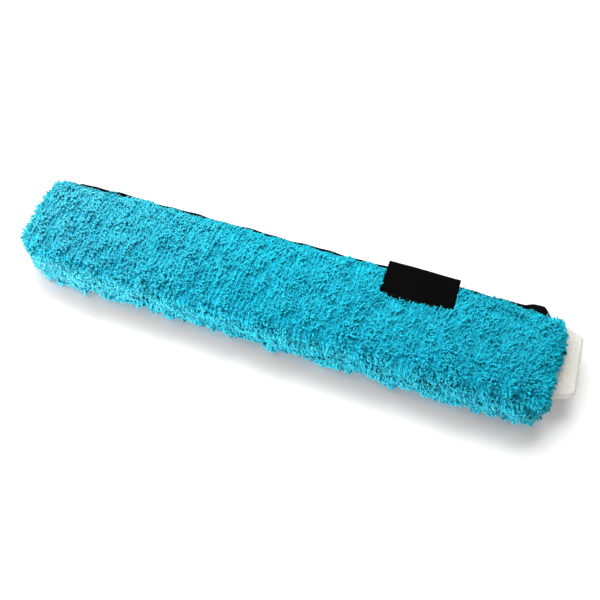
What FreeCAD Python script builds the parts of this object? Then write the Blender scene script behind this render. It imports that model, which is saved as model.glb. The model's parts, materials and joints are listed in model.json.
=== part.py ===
import FreeCAD, Part
import math
import os
import re

import Sketcher

# Washer sleeve of a window scrubber: a strip of long pile cloth folded along its lower edge, closed at both
# ends, and shut along its upper edge by hook and loop tapes either side of the gap for the bar's handle.
# It lies on its back: X runs along the sleeve towards the scrub pad, Y from the fold to the mouth, Z up.
# The origin is the middle of the flat back. Lengths are millimetres, angles degrees.

SIZES = (
    ("sleeve_length", 360, "along X, for a 35 cm bar"),
    ("sleeve_width", 75, "along Y, from the fold to the mouth"),
    ("cloth_thickness", 11, "backing and pile of one layer"),
    ("pocket_depth", 9, "room for the bar between the layers"),
    ("end_wall", 14, "pile and seam that close each end"),
    ("plan_corner", 13, "radius of three corners seen from above"),
    ("slack_corner", 26, "radius of the left corner at the fold, which hangs slack"),
    ("fold_slack", 4.5, "how far the fold draws in towards its left corner"),
    ("end_slack", 5, "how far the right end draws in towards the fold"),
    ("end_crown", 10, "radius of the upper edge at each end"),
    ("end_foot", 6, "radius of the lower edge at each end"),
    ("fold_crown", 13, "radius of the fold towards the front"),
    ("fold_foot", 10, "radius of the fold towards the back"),
    ("mouth_sag", 5, "how far the front layer sinks towards the mouth"),
    ("mouth_crown", 8, "radius of the front layer at the mouth"),
    ("mouth_foot", 5, "radius of the back layer at the mouth"),
    ("pocket_round", 3.5, "radius inside the fold"),
    ("lip_width", 27, "the part of the front layer that opens"),
    ("lip_slope", 7, "width of the slope where the lip dips"),
    ("lip_setback", 0.5, "front lip's edge behind the back lip's"),
    ("lip_corner", 8, "radius of the lip's free corners"),
    ("lip_clearance", 0.5, "between the lip and each end wall"),
    ("crease_clearance", 0.3, "between the lip and the front layer"),
    ("handle_gap", 80, "open stretch between the tapes"),
    ("tape_width", 16, "width of each hook and loop tape"),
    ("tape_base", 1, "woven base of a tape"),
    ("tape_selvedge", 2, "bare edge of a tape, where it is sewn"),
    ("hook_height", 2.2, "field of hooks"),
    ("loop_height", 2.2, "field of loops"),
    ("tape_clearance", 0.3, "between hooks and loops"),
    ("tape_end_margin", 6, "from a tape's end to the end wall"),
    ("tape_edge_margin", 6, "from a tape's edge to the mouth"),
    ("binding_thickness", 0.7, "one layer of the edge binding"),
    ("binding_edge_thickness", 2.4, "the binding's rolled edge"),
    ("binding_leg", 4.5, "binding that is sewn inside the lip"),
    ("binding_seat", 0.15, "between the rolled edge and the cloth"),
    ("binding_round", 1, "radius of the rolled edge"),
    ("front_edge_reach", 2.6, "rolled edge past the front lip"),
    ("back_edge_reach", 5.5, "rolled edge past the back lip"),
    ("binding_overrun", 7, "rolled edge past the ends of the mouth"),
    ("bulge_reach", 3.2, "extra reach where the back binding bulges at the right"),
    ("bulge_length", 24, "length of that bulge"),
    ("bulge_slope", 9, "length over which the bulge rises"),
    ("bulge_round", 5, "radius of the bulge's corners"),
    ("binding_end", 4, "radius of the rolled edge at the left end"),
    ("label_width", 48, "along X"),
    ("label_centre", 84, "from the middle of the sleeve"),
    ("label_leg", 24, "label on the front, from the mouth's edge"),
    ("label_hem", 3, "label inside the lip"),
    ("label_thickness", 1, "folded woven tape"),
    ("label_recess", 2.8, "label below the tips of the pile"),
    ("label_turn", 1.2, "room between the rolled edge and the label's fold"),
    ("label_crown", 5, "radius of the fold towards the front"),
    ("label_heel", 2.2, "radius of the fold towards the inside"),
    ("label_clearance", 0.1, "between the label and what it wraps"),
    ("label_room", 0.4, "between the pile and the label's sides"),
    ("scrub_thickness", 7.5, "scrub pad"),
    ("scrub_reach", 11.5, "pad past the end of the sleeve"),
    ("scrub_root", 7, "pad's seam inside the end of the sleeve"),
    ("scrub_root_width", 54, "pad along Y at its seam"),
    ("scrub_tip_width", 42, "pad along Y at its outer edge"),
    ("scrub_offset", 7, "pad's middle towards the mouth"),
    ("scrub_corner", 5, "radius of the pad's outer corners"),
    ("scrub_nose", 3.6, "radius of the sewn edge"),
    ("scrub_edge", 1.5, "radius of the outer edge"),
    ("scrub_swing", 20, "how far the pad bends each way"),
    ("scrub_clearance", 0.3, "between the pad and the end wall"),
    ("stitch_pitch", 5, "from one stitch to the next"),
    ("stitch_length", 3.4, "thread that shows between two holes"),
    ("stitch_width", 0.7, "thread"),
    ("stitch_height", 0.3, "thread above the cloth"),
    ("stitch_margin", 1, "from a row of stitches to the edge it holds"),
)

doc = FreeCAD.newDocument("WasherSleeve")
sheet = doc.addObject("Spreadsheet::Sheet", "Sizes")
for row, (alias, number, meaning) in enumerate(SIZES, start=1):
    sheet.set(f"A{row}", meaning)
    sheet.set(f"B{row}", str(number))
    sheet.setAlias(f"B{row}", alias)
doc.recompute()

# Places that several pieces share, each worked out from the sizes above.
THICKNESS = "(2 * cloth_thickness + pocket_depth)"
MIDDLE = f"({THICKNESS} / 2)"
MOUTH_EDGE = "(sleeve_width / 2)"
LIP_EDGE = f"({MOUTH_EDGE} - lip_setback)"
CREASE = f"({MOUTH_EDGE} - lip_width)"
MOUTH_LENGTH = "(sleeve_length - 2 * end_wall)"
LIP_GAP = "(2 * tape_base + hook_height + loop_height + tape_clearance)"
BACK_SEAT = "cloth_thickness"
LIP_SEAT = f"({BACK_SEAT} + {LIP_GAP})"
LIP_TOP = f"({LIP_SEAT} + cloth_thickness)"
GAP_MIDDLE = f"({BACK_SEAT} + {LIP_GAP} / 2)"
CLEAR_OF_ALL = f"({MOUTH_EDGE} + back_edge_reach + bulge_reach)"
TAPE_OUTER = f"({LIP_EDGE} - tape_edge_margin)"
TAPE_INNER = f"({TAPE_OUTER} - tape_width)"
TAPE_LENGTH = f"({MOUTH_LENGTH} / 2 - handle_gap / 2 - tape_end_margin)"
FRONT_ROLL = f"({LIP_EDGE} + front_edge_reach)"
BACK_ROLL = f"({MOUTH_EDGE} + back_edge_reach)"
LABEL_TOP = f"({LIP_TOP} - label_recess)"
LABEL_LOW = f"({LIP_EDGE} - label_leg)"
LABEL_START = "(label_centre - label_width / 2)"
SCRUB_SEAM = "(sleeve_length / 2 - scrub_root)"
SCRUB_ROOM = "(scrub_thickness / 2 + scrub_clearance)"


def in_sheet(expression):
    """The expression with every size's name pointed at its cell."""
    return re.sub(r"\b[a-z_]+\b(?!\()", lambda word: "Sizes." + word.group(), expression)


def value(expression):
    """What an expression in the sizes comes to."""
    return float(sheet.evalExpression(in_sheet(expression)))


def bind(thing, name, expression):
    thing.setExpression(name, in_sheet(expression))


def rounded_corner(before, corner, after, radius):
    """Start, end and centre of the arc that rounds a corner."""
    back = (before - corner).normalize()
    on = (after - corner).normalize()
    half_angle = back.getAngle(on) / 2
    reach = radius / math.tan(half_angle)
    centre = corner + (back + on).normalize() * (radius / math.sin(half_angle))
    return corner + back * reach, corner + on * reach, centre


def place_point(sketch, geometry, end, across, up):
    """Fixes a point of the sketch at two expressions, measured from the sketch's origin."""
    point = sketch.getPoint(geometry, end)
    for kind, expression, distance in (("DistanceX", across, point.x), ("DistanceY", up, point.y)):
        index = sketch.addConstraint(Sketcher.Constraint(kind, -1, 1, geometry, end, distance))
        bind(sketch, f"Constraints[{index}]", expression)


def outline(body, name, plane, corners, offset="0"):
    """A closed sketch on one of the body's origin planes. Each corner is its place across and up, then
    the radius that rounds it, or nothing where it is sharp."""
    sketch = body.newObject("Sketcher::SketchObject", name)
    support = next(feature for feature in body.Origin.OriginFeatures if feature.Role == plane)
    sketch.AttachmentSupport = [(support, "")]
    sketch.MapMode = "FlatFace"
    bind(sketch, "AttachmentOffset.Base.z", offset)
    points = [FreeCAD.Vector(value(across), value(up), 0) for across, up, *_ in corners]
    count = len(points)
    leaves = list(points)
    reaches = list(points)
    centres = {}
    for i, (_, _, *rounding) in enumerate(corners):
        if rounding:
            radius = value(rounding[0])
            turn = rounded_corner(points[i - 1], points[i], points[(i + 1) % count], radius)
            reaches[i], leaves[i], centres[i] = turn
    for i in range(count):
        sketch.addGeometry(Part.LineSegment(leaves[i], reaches[(i + 1) % count]))
    for i, (across, up, *rounding) in enumerate(corners):
        arriving = (i - 1) % count
        if not rounding:
            sketch.addConstraint(Sketcher.Constraint("Coincident", arriving, 2, i, 1))
            place_point(sketch, i, 1, across, up)
            continue
        spokes = [reaches[i] - centres[i], leaves[i] - centres[i]]
        leftwards = spokes[0].cross(spokes[1]).z > 0
        first, last = spokes if leftwards else reversed(spokes)
        circle = Part.Circle(centres[i], FreeCAD.Vector(0, 0, 1), spokes[0].Length)
        angles = math.atan2(first.y, first.x), math.atan2(last.y, last.x)
        arc = sketch.addGeometry(Part.ArcOfCircle(circle, *angles))
        arc_reach, arc_leave = (1, 2) if leftwards else (2, 1)
        sketch.addConstraint(Sketcher.Constraint("Tangent", arriving, 2, arc, arc_reach))
        sketch.addConstraint(Sketcher.Constraint("Tangent", arc, arc_leave, i, 1))
        radius_index = sketch.addConstraint(Sketcher.Constraint("Radius", arc, spokes[0].Length))
        bind(sketch, f"Constraints[{radius_index}]", rounding[0])
        mark = sketch.addGeometry(Part.Point(points[i]), True)
        sketch.addConstraint(Sketcher.Constraint("PointOnObject", mark, 1, arriving))
        sketch.addConstraint(Sketcher.Constraint("PointOnObject", mark, 1, i))
        place_point(sketch, mark, 1, across, up)
    return sketch


def add_pad(body, name, sketch, length, both_ways=False):
    pad = body.newObject("PartDesign::Pad", name)
    pad.Profile = sketch
    bind(pad, "Length", length)
    pad.SideType = "Symmetric" if both_ways else "One side"
    return pad


def prism(label, plane, corners, length, offset="0", both_ways=False):
    """A body padded from one outline."""
    body = doc.addObject("PartDesign::Body", label)
    sketch = outline(body, label + "_outline", plane, corners, offset)
    add_pad(body, label + "_pad", sketch, length, both_ways)
    return body


def combine(kind, label, pieces):
    """A boolean of whole pieces: the first is cut by the rest, or all are joined or kept where they meet."""
    result = doc.addObject(kind, label)
    if kind == "Part::Cut":
        result.Base, result.Tool = pieces
    else:
        result.Shapes = pieces
    return result


def rectangle(left, right, low, high):
    return [(left, low), (right, low), (right, high), (left, high)]


# The folded cloth before it is opened: its section, its plan and its ends, kept where all three meet.
cloth_section = prism(
    "cloth_section",
    "YZ_Plane",
    [
        (f"-{MOUTH_EDGE}", "0", "fold_foot"),
        (MOUTH_EDGE, "0", "mouth_foot"),
        (MOUTH_EDGE, f"{LIP_TOP} - mouth_sag", "mouth_crown"),
        (f"{CREASE} + lip_slope", LIP_TOP),
        (CREASE, THICKNESS),
        (f"-{MOUTH_EDGE}", THICKNESS, "fold_crown"),
    ],
    "sleeve_length",
    both_ways=True,
)
half_length = "sleeve_length / 2"
cloth_plan = prism(
    "cloth_plan",
    "XY_Plane",
    [
        (f"-{half_length}", f"fold_slack - {MOUTH_EDGE}", "slack_corner"),
        (f"{half_length} - end_slack", f"-{MOUTH_EDGE}", "plan_corner"),
        (half_length, MOUTH_EDGE, "plan_corner"),
        (f"-{half_length}", MOUTH_EDGE, "plan_corner"),
    ],
    THICKNESS,
)
cloth_ends = prism(
    "cloth_ends",
    "XZ_Plane",
    [
        (f"-{half_length}", "0", "end_foot"),
        (half_length, "0", "end_foot"),
        (half_length, THICKNESS, "end_crown"),
        (f"-{half_length}", THICKNESS, "end_crown"),
    ],
    "sleeve_width",
    both_ways=True,
)
cloth_blank = combine("Part::MultiCommon", "cloth_blank", [cloth_section, cloth_plan, cloth_ends])

# The pocket for the bar, with the slit that the tapes close, and the stretch of the front layer that opens.
pocket_end = f"-{MOUTH_EDGE} + cloth_thickness"
pocket = prism(
    "pocket",
    "YZ_Plane",
    [
        (pocket_end, BACK_SEAT, "pocket_round"),
        (CLEAR_OF_ALL, BACK_SEAT),
        (CLEAR_OF_ALL, LIP_SEAT),
        (f"{CREASE} + lip_slope", LIP_SEAT),
        (CREASE, f"{BACK_SEAT} + pocket_depth"),
        (pocket_end, f"{BACK_SEAT} + pocket_depth", "pocket_round"),
    ],
    MOUTH_LENGTH,
    both_ways=True,
)
mouth = prism(
    "mouth",
    "YZ_Plane",
    rectangle(CREASE, CLEAR_OF_ALL, GAP_MIDDLE, f"{THICKNESS} + cloth_thickness"),
    MOUTH_LENGTH,
    both_ways=True,
)

# The slot in the right end wall, where the scrub pad is sewn in. It flares as far as the pad bends.
slot_back = f"{SCRUB_SEAM} - {SCRUB_ROOM}"
slot_mouth = "(sleeve_length / 2 + scrub_reach)"
slot_neck = f"({SCRUB_ROOM} / cos(scrub_swing))"
slot_flare = f"({slot_neck} + tan(scrub_swing) * ({slot_mouth} - {SCRUB_SEAM}))"
scrub_slot = prism(
    "scrub_slot",
    "XZ_Plane",
    [
        (slot_back, f"{MIDDLE} - {slot_neck}", "scrub_nose"),
        (SCRUB_SEAM, f"{MIDDLE} - {slot_neck}"),
        (slot_mouth, f"{MIDDLE} - {slot_flare}"),
        (slot_mouth, f"{MIDDLE} + {slot_flare}"),
        (SCRUB_SEAM, f"{MIDDLE} + {slot_neck}"),
        (slot_back, f"{MIDDLE} + {slot_neck}", "scrub_nose"),
    ],
    "scrub_root_width + 2 * scrub_clearance",
    offset="-scrub_offset",
    both_ways=True,
)

cloth_openings = combine("Part::MultiFuse", "cloth_openings", [pocket, mouth, scrub_slot])
pile_cloth = combine("Part::Cut", "pile_cloth", [cloth_blank, cloth_openings])

# The front lip: the stretch of the front layer between the crease and the mouth. It turns up at the crease.
lip_half = f"({MOUTH_LENGTH} / 2 - lip_clearance)"
lip_root = f"{CREASE} + crease_clearance"
lip_stretch = prism(
    "lip_stretch",
    "XY_Plane",
    [
        (f"-{lip_half}", lip_root),
        (lip_half, lip_root),
        (lip_half, LIP_EDGE, "lip_corner"),
        (f"-{lip_half}", LIP_EDGE, "lip_corner"),
    ],
    f"{THICKNESS} - {GAP_MIDDLE}",
    offset=GAP_MIDDLE,
)
label_seat = prism(
    "label_seat",
    "YZ_Plane",
    rectangle(
        f"{LABEL_LOW} - label_room",
        CLEAR_OF_ALL,
        f"{LABEL_TOP} - label_thickness - label_clearance",
        f"{THICKNESS} + cloth_thickness",
    ),
    "label_width + 2 * label_room",
    offset=f"{LABEL_START} - label_room",
)
lip_blank = combine("Part::MultiCommon", "lip_blank", [cloth_blank, lip_stretch])
lip_openings = combine("Part::MultiFuse", "lip_openings", [pocket, label_seat])
lip_cloth = combine("Part::Cut", "lip_cloth", [lip_blank, lip_openings])


# The bindings: a leg sewn flat inside the lip, and a rolled edge that stands past the cloth.
def add_binding(label, edge, leg_low, roll_low, roll_outline):
    body = doc.addObject("PartDesign::Body", label)
    leg_half = f"({MOUTH_LENGTH} / 2 - lip_corner - lip_clearance)"
    leg_corners = rectangle(f"-{leg_half}", leg_half, f"{edge} - binding_leg", f"{edge} + binding_round")
    leg = outline(body, label + "_leg_outline", "XY_Plane", leg_corners, leg_low)
    add_pad(body, label + "_leg", leg, "binding_thickness")
    roll = outline(body, label + "_roll_outline", "XY_Plane", roll_outline, roll_low)
    roll_pad = add_pad(body, label + "_roll", roll, "binding_edge_thickness")
    doc.recompute()
    rim = value(f"{edge} + binding_round")
    outer_edges = [
        f"Edge{number}"
        for number, line in enumerate(roll_pad.Shape.Edges, start=1)
        if line.BoundBox.YMin > rim and line.BoundBox.ZLength < value("binding_thickness")
    ]
    rounded = body.newObject("PartDesign::Fillet", label + "_rounded")
    rounded.Base = (roll_pad, outer_edges)
    bind(rounded, "Radius", "binding_round")
    return body


roll_half = f"({MOUTH_LENGTH} / 2 - lip_corner)"
front_roll_inner = f"{LIP_EDGE} + binding_seat"
front_binding = add_binding(
    "front_binding",
    LIP_EDGE,
    f"{LIP_SEAT} - binding_thickness",
    f"{LIP_SEAT} - binding_thickness",
    rectangle(f"-{roll_half}", roll_half, front_roll_inner, FRONT_ROLL),
)
back_roll_inner = f"{MOUTH_EDGE} + binding_seat"
back_roll_half = f"({MOUTH_LENGTH} / 2 + binding_overrun)"
bulge = f"({BACK_ROLL} + bulge_reach)"
back_binding = add_binding(
    "back_binding",
    MOUTH_EDGE,
    BACK_SEAT,
    f"{BACK_SEAT} + binding_thickness - binding_edge_thickness",
    [
        (f"-{back_roll_half}", back_roll_inner),
        (back_roll_half, back_roll_inner),
        (back_roll_half, bulge, "bulge_round"),
        (f"{back_roll_half} - bulge_length + bulge_slope", bulge, "bulge_round"),
        (f"{back_roll_half} - bulge_length", BACK_ROLL, "bulge_round"),
        (f"-{back_roll_half}", BACK_ROLL, "binding_end"),
    ],
)


# The hook tapes lie on the back lip and the loop tapes hang under the front lip, two of each.
def tape_section(seat, way, field_height):
    """A tape across its width: the woven base, and the field between its two bare selvedges."""
    base_face = f"{seat} {way} tape_base"
    field_face = f"{base_face} {way} {field_height}"
    return [
        (TAPE_INNER, seat),
        (TAPE_OUTER, seat),
        (TAPE_OUTER, base_face),
        (f"{TAPE_OUTER} - tape_selvedge", base_face),
        (f"{TAPE_OUTER} - tape_selvedge", field_face),
        (f"{TAPE_INNER} + tape_selvedge", field_face),
        (f"{TAPE_INNER} + tape_selvedge", base_face),
        (TAPE_INNER, base_face),
    ]


TAPE_STARTS = {"left": f"-handle_gap / 2 - {TAPE_LENGTH}", "right": "handle_gap / 2"}
TAPE_KINDS = {"hook": (BACK_SEAT, "+", "hook_height"), "loop": (LIP_SEAT, "-", "loop_height")}
tapes = [
    prism(f"{side}_{kind}_tape", "YZ_Plane", tape_section(*section), TAPE_LENGTH, offset=start)
    for kind, section in TAPE_KINDS.items()
    for side, start in TAPE_STARTS.items()
]

# The label: one woven strip folded over the lip's edge and its binding, with a short hem inside the lip.
label_hem_top = f"({LIP_SEAT} - binding_thickness - label_clearance)"
label_fold = f"({FRONT_ROLL} + label_turn)"
label = prism(
    "label",
    "YZ_Plane",
    [
        (LABEL_LOW, LABEL_TOP),
        (LABEL_LOW, f"{LABEL_TOP} - label_thickness"),
        (label_fold, f"{LABEL_TOP} - label_thickness", "label_crown - label_thickness"),
        (label_fold, label_hem_top, "label_heel - label_thickness"),
        (f"{LIP_EDGE} - label_hem", label_hem_top),
        (f"{LIP_EDGE} - label_hem", f"{label_hem_top} - label_thickness"),
        (f"{label_fold} + label_thickness", f"{label_hem_top} - label_thickness", "label_heel"),
        (f"{label_fold} + label_thickness", LABEL_TOP, "label_crown"),
    ],
    "label_width",
    offset=LABEL_START,
)

# The scrub pad: a firm tongue of felted fibre that narrows outwards, with its sewn edge rounded to bend.
scrub_tip = "sleeve_length / 2 + scrub_reach"
scrub_back = f"{SCRUB_SEAM} - scrub_thickness / 2"
scrub_plan = prism(
    "scrub_plan",
    "XY_Plane",
    [
        (scrub_back, "scrub_offset - scrub_root_width / 2"),
        (SCRUB_SEAM, "scrub_offset - scrub_root_width / 2"),
        (scrub_tip, "scrub_offset - scrub_tip_width / 2", "scrub_corner"),
        (scrub_tip, "scrub_offset + scrub_tip_width / 2", "scrub_corner"),
        (SCRUB_SEAM, "scrub_offset + scrub_root_width / 2"),
        (scrub_back, "scrub_offset + scrub_root_width / 2"),
    ],
    THICKNESS,
)
scrub_low = f"{MIDDLE} - scrub_thickness / 2"
scrub_high = f"{MIDDLE} + scrub_thickness / 2"
scrub_side = prism(
    "scrub_side",
    "XZ_Plane",
    [
        (scrub_back, scrub_low, "scrub_nose"),
        (scrub_tip, scrub_low, "scrub_edge"),
        (scrub_tip, scrub_high, "scrub_edge"),
        (scrub_back, scrub_high, "scrub_nose"),
    ],
    "2 * scrub_root_width",
    both_ways=True,
)
scrub_pad = combine("Part::MultiCommon", "scrub_pad", [scrub_plan, scrub_side])


# The sewing: each stitch is a short run of thread with a narrower back, laid flat on what it holds.
def stitch(middle, along, out):
    """One run of thread, centred on a point of the cloth, along one direction and standing out on another."""
    side = along.cross(out)
    half_foot = side * (value("stitch_width") / 2)
    half_back = half_foot * (1 / 2)
    start = middle - along * (value("stitch_length") / 2)
    rise = out * value("stitch_height")
    section = [start - half_foot, start + half_foot, start + half_back + rise, start - half_back + rise]
    face = Part.Face(Part.makePolygon(section + section[:1]))
    return face.extrude(along * value("stitch_length"))


def stitch_row(start, end, along, out):
    """As many stitches as fit between two points, evenly spread about the middle of the row."""
    pitch = value("stitch_pitch")
    count = int((end - start).dot(along) / pitch)
    first = (start + end) * 0.5 - along * ((count - 1) * pitch / 2)
    return [stitch(first + along * (i * pitch), along, out) for i in range(count)]


def sewing(label, stitches):
    group = doc.addObject("Part::Feature", label)
    group.Shape = Part.makeCompound(stitches)
    group.Placement = FreeCAD.Placement()
    return group


ALONG = FreeCAD.Vector(1, 0, 0)
ACROSS = FreeCAD.Vector(0, 1, 0)
UP = FreeCAD.Vector(0, 0, 1)
DOWN = -UP


def row_along(left, right, across, height, out):
    ends = [FreeCAD.Vector(value(left), value(across), value(height))]
    ends.append(FreeCAD.Vector(value(right), value(across), value(height)))
    return stitch_row(*ends, ALONG, out)


def tape_stitches(height, out):
    """Two rows on each of the two tapes, on the bare selvedges."""
    rows = []
    for start in TAPE_STARTS.values():
        for across in (f"{TAPE_INNER} + stitch_margin", f"{TAPE_OUTER} - stitch_margin"):
            rows += row_along(start, f"{start} + {TAPE_LENGTH}", across, height, out)
    return rows


hook_tape_stitches = sewing("hook_tape_stitches", tape_stitches(f"{BACK_SEAT} + tape_base", UP))
loop_tape_stitches = sewing("loop_tape_stitches", tape_stitches(f"{LIP_SEAT} - tape_base", DOWN))

binding_row_end = f"({MOUTH_LENGTH} / 2 - lip_corner - lip_clearance - stitch_margin)"
back_binding_stitches = sewing(
    "back_binding_stitches",
    row_along(
        f"-{binding_row_end}",
        binding_row_end,
        f"{MOUTH_EDGE} - binding_leg + stitch_margin",
        f"{BACK_SEAT} + binding_thickness",
        UP,
    ),
)
front_row = f"{LIP_EDGE} - binding_leg + stitch_margin"
front_row_height = f"{LIP_SEAT} - binding_thickness"
front_binding_stitches = sewing(
    "front_binding_stitches",
    row_along(f"-{binding_row_end}", f"{LABEL_START} - label_room", front_row, front_row_height, DOWN)
    + row_along(
        f"{LABEL_START} + label_width + label_room", binding_row_end, front_row, front_row_height, DOWN
    ),
)
label_stitches = sewing(
    "label_stitches",
    row_along(
        f"{LABEL_START} + stitch_margin",
        f"{LABEL_START} + label_width - stitch_margin",
        f"{LABEL_LOW} + 2 * stitch_margin",
        LABEL_TOP,
        UP,
    ),
)

# The end seams show inside the pocket, as a row of thread down the middle of each end wall.
seam_low = value(f"{pocket_end} + pocket_round + stitch_margin")
seam_high = value(f"{CREASE} - stitch_margin")
end_seams = []
for toward_middle in (ALONG, -ALONG):
    foot = -toward_middle * value(f"{MOUTH_LENGTH} / 2") + UP * value(MIDDLE)
    end_seams += stitch_row(foot + ACROSS * seam_low, foot + ACROSS * seam_high, ACROSS, toward_middle)
end_seam_stitches = sewing("end_seam_stitches", end_seams)

doc.recompute()

# Nothing is written unless every object came out whole.
NODES = [
    pile_cloth,
    lip_cloth,
    front_binding,
    back_binding,
    *tapes,
    label,
    scrub_pad,
    hook_tape_stitches,
    loop_tape_stitches,
    front_binding_stitches,
    back_binding_stitches,
    label_stitches,
    end_seam_stitches,
]
for thing in doc.Objects:
    if {"Invalid", "Error"} & set(thing.State):
        raise RuntimeError(f"{thing.Label} could not be made: {thing.State}")
for node in NODES:
    if node.Shape.isNull() or not node.Shape.isValid() or not node.Shape.Solids:
        raise RuntimeError(f"{node.Label} has no sound shape")

os.makedirs("parts", exist_ok=True)
for node in NODES:
    solids = node.Shape.Solids
    shape = solids[0] if len(solids) == 1 else Part.makeCompound(solids)
    shape.exportStep(f"parts/{node.Label}.step")
    print(f"{node.Label}: {len(solids)} solid(s), {shape.Volume / 1000:.2f} cm3")
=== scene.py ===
import json
import math

import bmesh
import bpy
import numpy as np
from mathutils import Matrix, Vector, noise


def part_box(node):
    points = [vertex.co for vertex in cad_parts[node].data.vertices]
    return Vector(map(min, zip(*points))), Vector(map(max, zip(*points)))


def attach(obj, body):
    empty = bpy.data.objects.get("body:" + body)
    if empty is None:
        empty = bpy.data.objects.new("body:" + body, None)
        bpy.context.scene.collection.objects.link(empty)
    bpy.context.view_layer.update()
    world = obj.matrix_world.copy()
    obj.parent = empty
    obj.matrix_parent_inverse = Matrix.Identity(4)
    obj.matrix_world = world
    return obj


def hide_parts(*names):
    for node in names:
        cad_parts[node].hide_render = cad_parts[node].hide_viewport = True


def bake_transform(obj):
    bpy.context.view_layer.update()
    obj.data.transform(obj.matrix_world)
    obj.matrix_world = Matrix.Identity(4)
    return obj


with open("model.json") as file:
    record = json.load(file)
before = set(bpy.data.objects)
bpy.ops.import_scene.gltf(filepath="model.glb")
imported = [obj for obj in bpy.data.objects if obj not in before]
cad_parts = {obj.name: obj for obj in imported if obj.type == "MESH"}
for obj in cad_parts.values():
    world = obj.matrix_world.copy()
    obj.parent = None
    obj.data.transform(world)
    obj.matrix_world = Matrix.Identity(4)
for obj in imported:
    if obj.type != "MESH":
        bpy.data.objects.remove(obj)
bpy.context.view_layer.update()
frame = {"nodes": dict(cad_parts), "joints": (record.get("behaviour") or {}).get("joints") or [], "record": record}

# The folded cloth: one strip of microfibre knit, folded along its lower edge and sewn shut at both ends.
# The knitted ground lines the pocket, and thick twisted yarn ends stand on its outside as the pile.
MM = 0.001
WELD = 0.001 * MM
GROUND_STEP = 4 * MM
PILE_DEPTH = 2.2 * MM
FRONT_DEPTH = 1.1 * MM
EDGE_DEPTH = 2.4 * MM
LUMP = 1.3 * MM
LUMP_SIZE = 17 * MM
LUMP_SINK = 0.35
cloth_low, cloth_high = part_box("pile_cloth")
label_low, label_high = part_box("label")
pad_low, pad_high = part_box("scrub_pad")
back_roll_low, back_roll_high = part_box("back_binding")
openings = {opening["name"]: opening["box_m"] for opening in frame["record"]["physics"]["openings"]}
pocket_low, pocket_high = (Vector(corner) for corner in openings["bar_pocket"])
joints = {joint["name"]: joint for joint in frame["joints"]}
crease = Vector(joints["lip_crease"]["pos_m"])


def linear(hex_colour):
    """A written sRGB colour as the linear RGBA that a shader's socket takes."""
    channels = [int(hex_colour[start:start + 2], 16) / 255 for start in (1, 3, 5)]
    return [c / 12.92 if c <= 0.04045 else ((c + 0.055) / 1.055) ** 2.4 for c in channels] + [1]


def add_node(tree, kind, inputs=None, **settings):
    """Adds one node. Settings are its properties; inputs give a value, or a socket to link, by socket."""
    made = tree.nodes.new(kind)
    for name, setting in settings.items():
        setattr(made, name, setting)
    for socket, source in (inputs or {}).items():
        if isinstance(source, bpy.types.NodeSocket):
            tree.links.new(source, made.inputs[socket])
        else:
            made.inputs[socket].default_value = source
    return made


def new_material(name, colour, **sockets):
    """A material with one Principled shader that has this colour and these values on its sockets."""
    material = bpy.data.materials.new(name)
    material.use_nodes = True
    shader = material.node_tree.nodes["Principled BSDF"]
    shader.inputs["Base Color"].default_value = linear(colour)
    for socket, setting in sockets.items():
        shader.inputs[socket.replace("_", " ")].default_value = setting
    return material, material.node_tree, shader


def new_tree(name, inputs):
    """An empty node tree for shapes, with these named inputs and one geometry to give back."""
    tree = bpy.data.node_groups.new(name, "GeometryNodeTree")
    for socket, kind in inputs.items():
        tree.interface.new_socket(socket, in_out="INPUT", socket_type="NodeSocket" + kind)
    tree.interface.new_socket("Made", in_out="OUTPUT", socket_type="NodeSocketGeometry")
    return tree, add_node(tree, "NodeGroupInput").outputs


def give_back(tree, geometry, material):
    """Ends a tree: its mesh is shaded smooth, gets the material and is given back."""
    smooth = add_node(tree, "GeometryNodeSetShadeSmooth", {"Geometry": geometry})
    dressed = add_node(tree, "GeometryNodeSetMaterial", {"Geometry": smooth.outputs[0], "Material": material})
    add_node(tree, "NodeGroupOutput", {"Made": dressed.outputs[0]})


def new_piece(name, mesh, material=None):
    """An object at the origin with this mesh, all in one material where one is given."""
    piece = bpy.data.objects.new(name, mesh)
    bpy.context.scene.collection.objects.link(piece)
    if material:
        mesh.materials.clear()
        mesh.materials.append(material)
    return piece


def run_tree(piece, tree, inputs):
    """Runs a node tree on a piece with the named inputs, and keeps the plain mesh that it makes."""
    modifier = piece.modifiers.new("made by nodes", "NODES")
    modifier.node_group = tree
    for socket in tree.interface.items_tree:
        if socket.name in inputs:
            modifier[socket.identifier] = inputs[socket.name]
    evaluated = piece.evaluated_get(bpy.context.evaluated_depsgraph_get())
    mesh = bpy.data.meshes.new_from_object(evaluated)
    piece.modifiers.clear()
    piece.data = mesh


def stands_for(piece, body, slot, *nodes):
    """Puts a piece on a body in the place of the nodes it shows."""
    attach(piece, body)
    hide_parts(*nodes)


def cut_copy(node, step):
    """A copy of a node's mesh, its corners joined and its faces cut at even steps all three ways."""
    mesh = frame["nodes"][node].data.copy()
    low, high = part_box(node)
    work = bmesh.new()
    work.from_mesh(mesh)
    bmesh.ops.remove_doubles(work, verts=work.verts, dist=WELD)
    for axis in (Vector((1, 0, 0)), Vector((0, 1, 0)), Vector((0, 0, 1))):
        for number in range(1, math.ceil((high - low).dot(axis) / step)):
            everything = [*work.verts, *work.edges, *work.faces]
            bmesh.ops.bisect_plane(work, geom=everything, plane_co=low + axis * step * number, plane_no=axis)
    bmesh.ops.triangulate(work, faces=work.faces)
    bmesh.ops.dissolve_degenerate(work, dist=WELD, edges=work.edges)
    work.to_mesh(mesh)
    work.free()
    return mesh


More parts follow.
